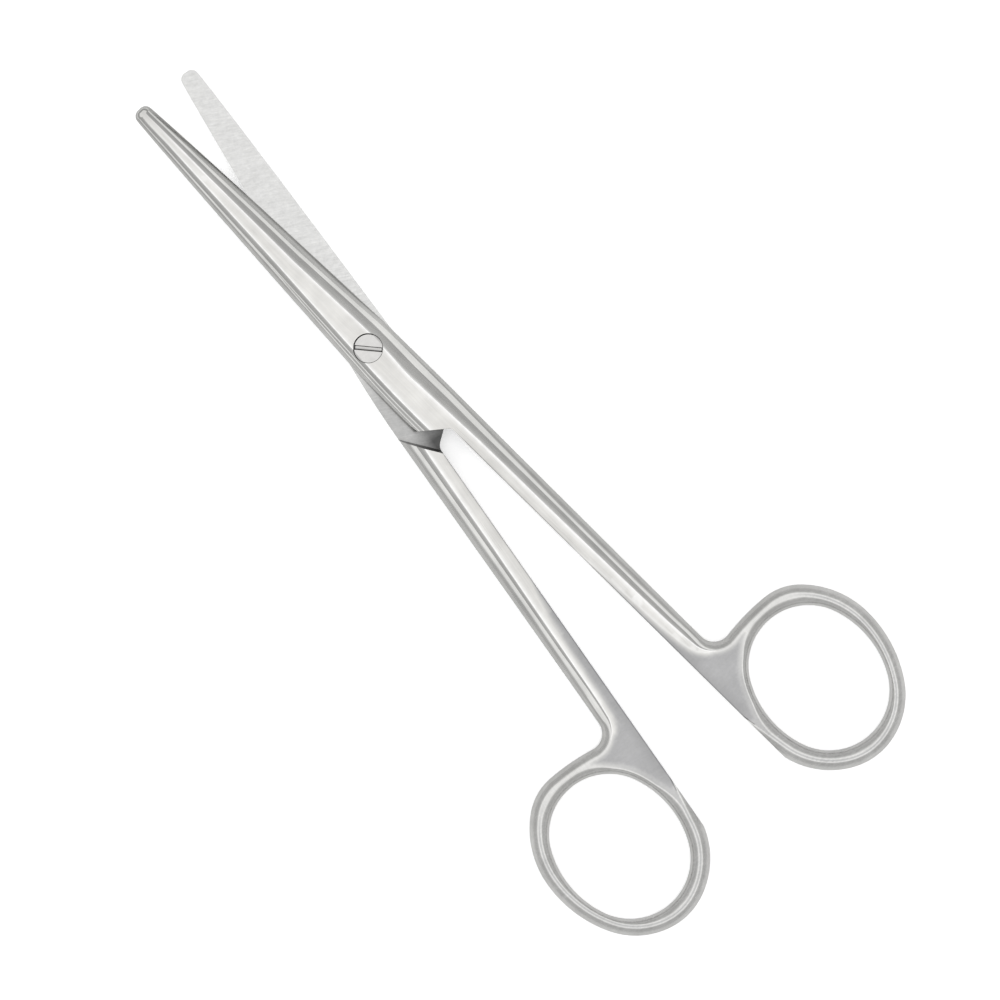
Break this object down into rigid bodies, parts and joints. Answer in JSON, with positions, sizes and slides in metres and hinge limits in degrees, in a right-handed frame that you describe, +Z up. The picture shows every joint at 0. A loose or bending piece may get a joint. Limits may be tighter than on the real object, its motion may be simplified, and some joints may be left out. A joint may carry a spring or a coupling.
{
  "type": "dissecting scissors",
  "caption": "Straight ring-handled dissecting scissors: crossed steel halves pivot on a slotted screw in a lap joint, lying slightly open.",
  "frame": {"origin": "on the pivot axis, at the underside of the lap joint, which is what the scissors lie on", "axes": "+X towards the blade tips, midway between the blades; +Z up along the pivot screw, out of its slotted head"},
  "size_m": [0.1687, 0.0733, 0.005],
  "materials": {
    "forged_steel": "satin stainless steel, ground facets lightly brushed along the length",
    "screw_steel": "turned and polished stainless steel, slotted"
  },
  "bodies": {
    "lower": {"lower_half": "forged_steel", "joint_screw": "screw_steel"},
    "upper": {"upper_half": "forged_steel"}
  },
  "joints": [
    {"name": "pivot", "type": "hinge", "parent": "lower", "child": "upper", "pos_m": [0, 0, 0.0025], "axis": [0, 0, 1], "range_deg": [-10.4, 135]}
  ]
}
